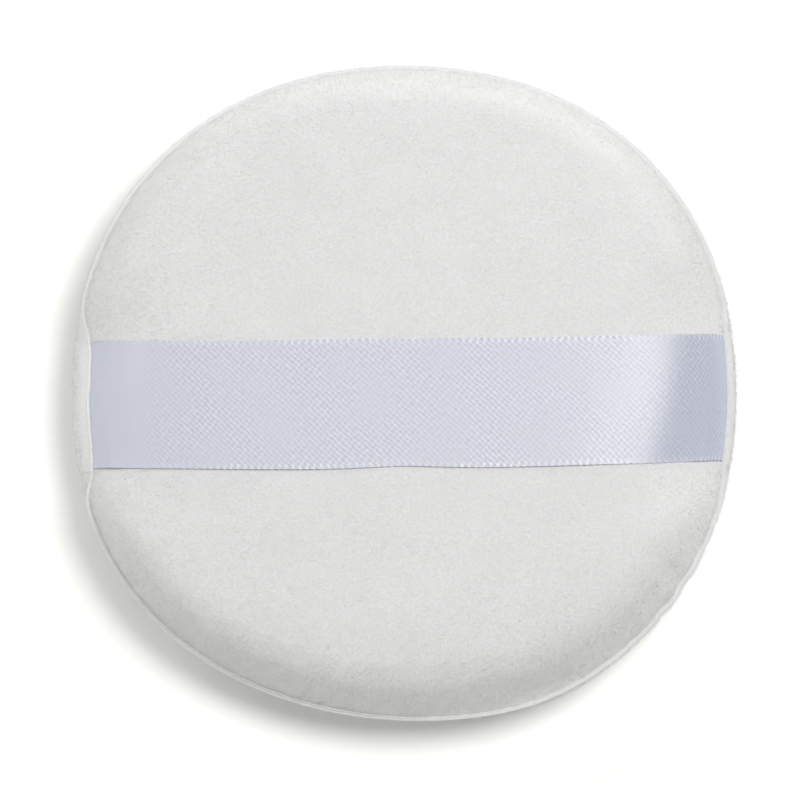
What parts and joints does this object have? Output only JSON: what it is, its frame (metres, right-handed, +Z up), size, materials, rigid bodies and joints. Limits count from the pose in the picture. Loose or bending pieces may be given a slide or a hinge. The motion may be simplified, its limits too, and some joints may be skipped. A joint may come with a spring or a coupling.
{
  "type": "powder puff",
  "caption": "Round velour powder puff: soft foam-filled pad with a rolled edge seam and a flat satin ribbon strap across the back for the fingers",
  "frame": {"origin": "on the resting plane, under the middle of the pad's outline", "axes": "+Z points up out of the back with the ribbon, +X runs along the ribbon, +Y crosses it"},
  "size_m": [0.0807, 0.081, 0.0154],
  "materials": {
    "velour": "white short-pile velour, matt, soft at the edge",
    "satin": "pale blue-grey satin weave, silky shine along the ribbon",
    "foam": "open-cell cream sponge",
    "thread": "white twisted sewing thread"
  },
  "bodies": {
    "pad": {"back_cover": "velour", "face_cover": "velour", "foam_core": "foam", "seam_needle_thread": "thread", "seam_bobbin_thread": "thread", "ribbon_tack_left": "thread", "ribbon_tack_right": "thread", "closing_thread": "thread"},
    "strap": {"ribbon_strap": "satin"}
  },
  "joints": [
    {"name": "strap_lift", "type": "slide", "parent": "pad", "child": "strap", "axis": [0, 0, 1], "range_m": [0, 0.007], "deforming": ["ribbon_strap"]}
  ]
}
